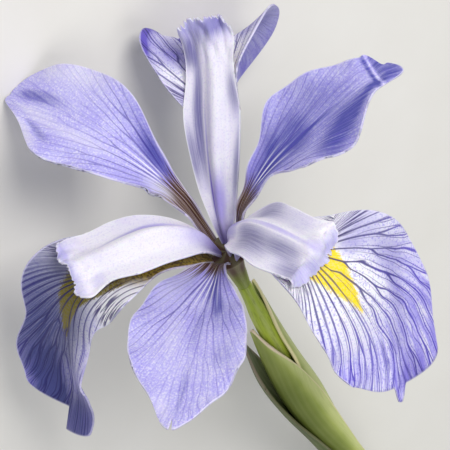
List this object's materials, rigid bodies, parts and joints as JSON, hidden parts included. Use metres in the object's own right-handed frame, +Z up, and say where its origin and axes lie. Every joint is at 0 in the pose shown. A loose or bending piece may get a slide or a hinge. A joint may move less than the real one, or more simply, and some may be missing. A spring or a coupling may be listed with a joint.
{
  "type": "virginia blue flag iris, cut stem in flower",
  "caption": "Cut stem of blue flag iris in full flower, lying on its side: hanging falls, spreading standards, arched style arms, clasping bracts and a round stem.",
  "frame": {"origin": "centre of the object's footprint, on the surface it lies on", "axes": "+Z up from that surface, +X from the cut end of the stem to the flower"},
  "size_m": [0.209, 0.1004, 0.0856],
  "materials": {
    "fall": "thin satin petal, white to violet ground with dark branching veins and a yellow signal",
    "standard": "thin satin petal, lavender blue with fine violet veins and a pale edge",
    "style": "translucent white to lilac with a violet ridge",
    "tube": "brown green, satin",
    "ovary": "yellow green, satin",
    "bract": "glaucous green, lengthwise veins, papery tan margin",
    "bract_dark": "darker green, brown purple margin",
    "stem": "smooth waxy green, pale cut end",
    "filament": "cream, matte",
    "anther": "buff, powdery"
  },
  "bodies": {
    "root": {"stem": "stem", "ovary": "ovary", "perianth_tube": "tube", "spathe_back": "bract", "spathe_front": "bract", "spathe_lower": "bract_dark", "fall_back": "fall", "style_arm_back": "style", "filament_back": "filament", "anther_back": "anther", "fall_left": "fall", "style_arm_left": "style", "filament_left": "filament", "anther_left": "anther", "fall_right": "fall", "style_arm_right": "style", "filament_right": "filament", "anther_right": "anther", "standard_left": "standard", "standard_right": "standard", "standard_front": "standard"}
  },
  "joints": []
}
